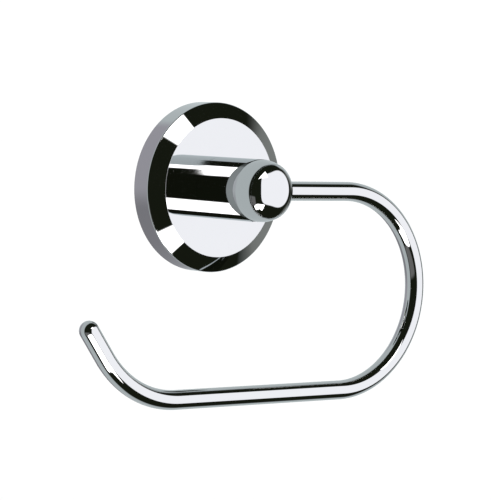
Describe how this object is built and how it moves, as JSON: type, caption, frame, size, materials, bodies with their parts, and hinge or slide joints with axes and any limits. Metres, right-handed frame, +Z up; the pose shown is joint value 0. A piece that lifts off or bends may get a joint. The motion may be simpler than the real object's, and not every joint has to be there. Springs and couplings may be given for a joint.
{
  "type": "toilet paper holder",
  "caption": "Wall-mounted toilet paper holder: a bevelled round rosette, a short domed post, and an open bent-rod arm that swings to take a roll.",
  "frame": {"origin": "centre of the rosette on the wall surface, which is the middle of the wall bracket's back face", "axes": "+X to the viewer's right, the side the arm leaves the post; +Y into the wall, so the post stands out along -Y; +Z up"},
  "size_m": [0.1406, 0.0607, 0.0956],
  "materials": {
    "chrome_plate": "mirror-polished chrome plate",
    "cast_zinc": "bare die-cast zinc, matt grey",
    "plated_steel": "zinc-plated steel, satin",
    "nylon": "moulded natural nylon"
  },
  "bodies": {
    "wall_fitting": {"wall_bracket": "cast_zinc", "wall_screw_upper": "plated_steel", "wall_screw_lower": "plated_steel", "wall_plug_upper": "nylon", "wall_plug_lower": "nylon", "rosette": "chrome_plate", "rosette_grub_screw": "plated_steel", "post": "chrome_plate", "end_cap": "chrome_plate", "post_fixing_screw": "plated_steel", "post_spring_washer": "plated_steel", "post_flat_washer": "plated_steel", "post_locating_pin": "plated_steel", "arm_bush_outer": "nylon", "arm_bush_inner": "nylon", "arm_retaining_screw": "plated_steel"},
    "arm": {"arm_rod": "chrome_plate"}
  },
  "joints": [
    {"name": "arm_swing", "type": "hinge", "parent": "wall_fitting", "child": "arm", "pos_m": [0, -0.03, 0], "axis": [-1, 0, 0], "range_deg": [-24, 204]}
  ]
}
